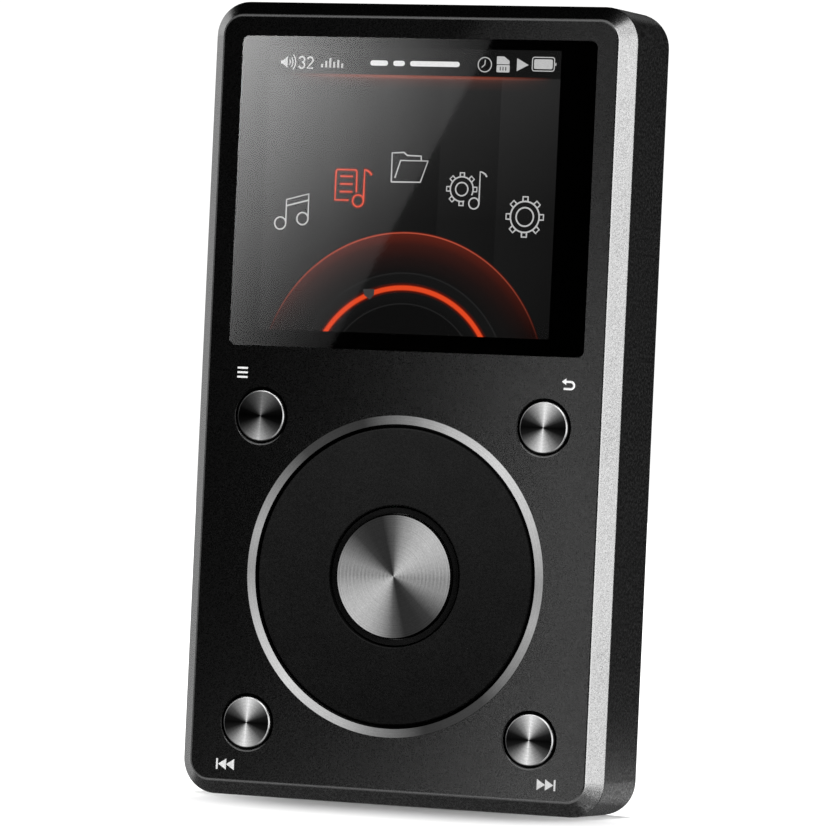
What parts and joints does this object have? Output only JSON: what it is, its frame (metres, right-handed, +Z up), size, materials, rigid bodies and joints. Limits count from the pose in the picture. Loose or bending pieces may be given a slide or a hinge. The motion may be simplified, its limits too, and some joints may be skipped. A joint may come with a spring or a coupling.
{
  "type": "digital audio player",
  "caption": "Digital audio player: bevelled black metal casing, display window, ringed scroll wheel round a centre button, small round buttons, side keys, jacks, data port and card slots.",
  "frame": {"origin": "middle of the casing's bottom end, where it stands", "axes": "+Z up the long side, the front faces -Y, +X to the right of someone facing the front"},
  "size_m": [0.0634, 0.0155, 0.109],
  "materials": {
    "casing_metal": "fine bead-blasted black anodised",
    "trim_metal": "satin, turned in fine circular lines",
    "button_metal": "spun, dark bright-cut face with a polished edge",
    "wheel_plastic": "soft-touch matte black",
    "window_glass": "polished",
    "foam_tape": "matte",
    "lcd_glass": "polished black panel",
    "diffuser": "white moulding",
    "sheet_steel": "stamped sheet",
    "flex_film": "amber polyimide film",
    "inner_plastic": "moulded black",
    "board": "solder-masked laminate",
    "chip_resin": "moulded epoxy",
    "capacitor_resin": "moulded epoxy",
    "switch_plastic": "moulded",
    "screw_steel": "black-oxide machine screw",
    "battery_foil": "aluminium-laminate pouch",
    "jack_plastic": "moulded black",
    "port_steel": "plated shell",
    "light_pipe": "clear rod",
    "lead_red": "insulated wire",
    "lead_black": "insulated wire"
  },
  "bodies": {
    "casing": {"front_housing": "casing_metal", "rear_cover": "casing_metal", "rear_cover_screws": "screw_steel", "display_window": "window_glass", "window_gasket": "foam_tape", "lcd_panel": "lcd_glass", "lcd_backlight": "diffuser", "lcd_tray": "sheet_steel", "lcd_flex": "flex_film", "lcd_connector": "switch_plastic", "wheel_trim_ring": "trim_metal", "wheel_seat": "inner_plastic", "encoder_base": "inner_plastic", "centre_button_guide": "inner_plastic", "key_switches": "sheet_steel", "keypad_board": "board", "keypad_board_screws": "screw_steel", "board_connector": "switch_plastic", "side_switches": "sheet_steel", "side_key_board": "board", "power_led": "diffuser", "power_light_pipe": "light_pipe", "main_board": "board", "main_board_screws": "screw_steel", "processor": "chip_resin", "memory_chips": "chip_resin", "dac_chip": "chip_resin", "clock_oscillators": "sheet_steel", "amplifier_chips": "chip_resin", "shield_can": "sheet_steel", "capacitors": "capacitor_resin", "headphone_jack": "jack_plastic", "line_out_jack": "jack_plastic", "usb_port": "port_steel", "card_sockets": "sheet_steel", "battery": "battery_foil", "battery_tape": "foam_tape", "battery_foam": "foam_tape", "battery_plug": "switch_plastic", "battery_lead_positive": "lead_red", "battery_lead_negative": "lead_black"},
    "wheel": {"scroll_wheel": "wheel_plastic", "encoder_rotor": "inner_plastic"},
    "centre_button": {"centre_button": "button_metal", "centre_switch_plunger": "switch_plastic"},
    "menu_button": {"menu_button": "button_metal", "menu_switch_plunger": "switch_plastic"},
    "back_button": {"back_button": "button_metal", "back_switch_plunger": "switch_plastic"},
    "previous_button": {"previous_button": "button_metal", "previous_switch_plunger": "switch_plastic"},
    "next_button": {"next_button": "button_metal", "next_switch_plunger": "switch_plastic"},
    "power_button": {"power_button": "casing_metal", "power_switch_plunger": "switch_plastic"},
    "volume_up_button": {"volume_up_button": "casing_metal", "volume_up_switch_plunger": "switch_plastic"},
    "volume_down_button": {"volume_down_button": "casing_metal", "volume_down_switch_plunger": "switch_plastic"}
  },
  "joints": [
    {"name": "wheel_spin", "type": "hinge", "parent": "casing", "child": "wheel", "pos_m": [0, 0, 0.03108], "axis": [0, 1, 0], "continuous": true},
    {"name": "centre_press", "type": "slide", "parent": "casing", "child": "centre_button", "axis": [0, 1, 0], "range_m": [0, 0.0003], "stiffness_N_per_m": 2500},
    {"name": "menu_press", "type": "slide", "parent": "casing", "child": "menu_button", "axis": [0, 1, 0], "range_m": [0, 0.0003], "stiffness_N_per_m": 2500},
    {"name": "back_press", "type": "slide", "parent": "casing", "child": "back_button", "axis": [0, 1, 0], "range_m": [0, 0.0003], "stiffness_N_per_m": 2500},
    {"name": "previous_press", "type": "slide", "parent": "casing", "child": "previous_button", "axis": [0, 1, 0], "range_m": [0, 0.0003], "stiffness_N_per_m": 2500},
    {"name": "next_press", "type": "slide", "parent": "casing", "child": "next_button", "axis": [0, 1, 0], "range_m": [0, 0.0003], "stiffness_N_per_m": 2500},
    {"name": "power_press", "type": "slide", "parent": "casing", "child": "power_button", "axis": [1, 0, 0], "range_m": [0, 0.0003], "stiffness_N_per_m": 2500},
    {"name": "volume_up_press", "type": "slide", "parent": "casing", "child": "volume_up_button", "axis": [1, 0, 0], "range_m": [0, 0.0003], "stiffness_N_per_m": 2500},
    {"name": "volume_down_press", "type": "slide", "parent": "casing", "child": "volume_down_button", "axis": [1, 0, 0], "range_m": [0, 0.0003], "stiffness_N_per_m": 2500}
  ]
}
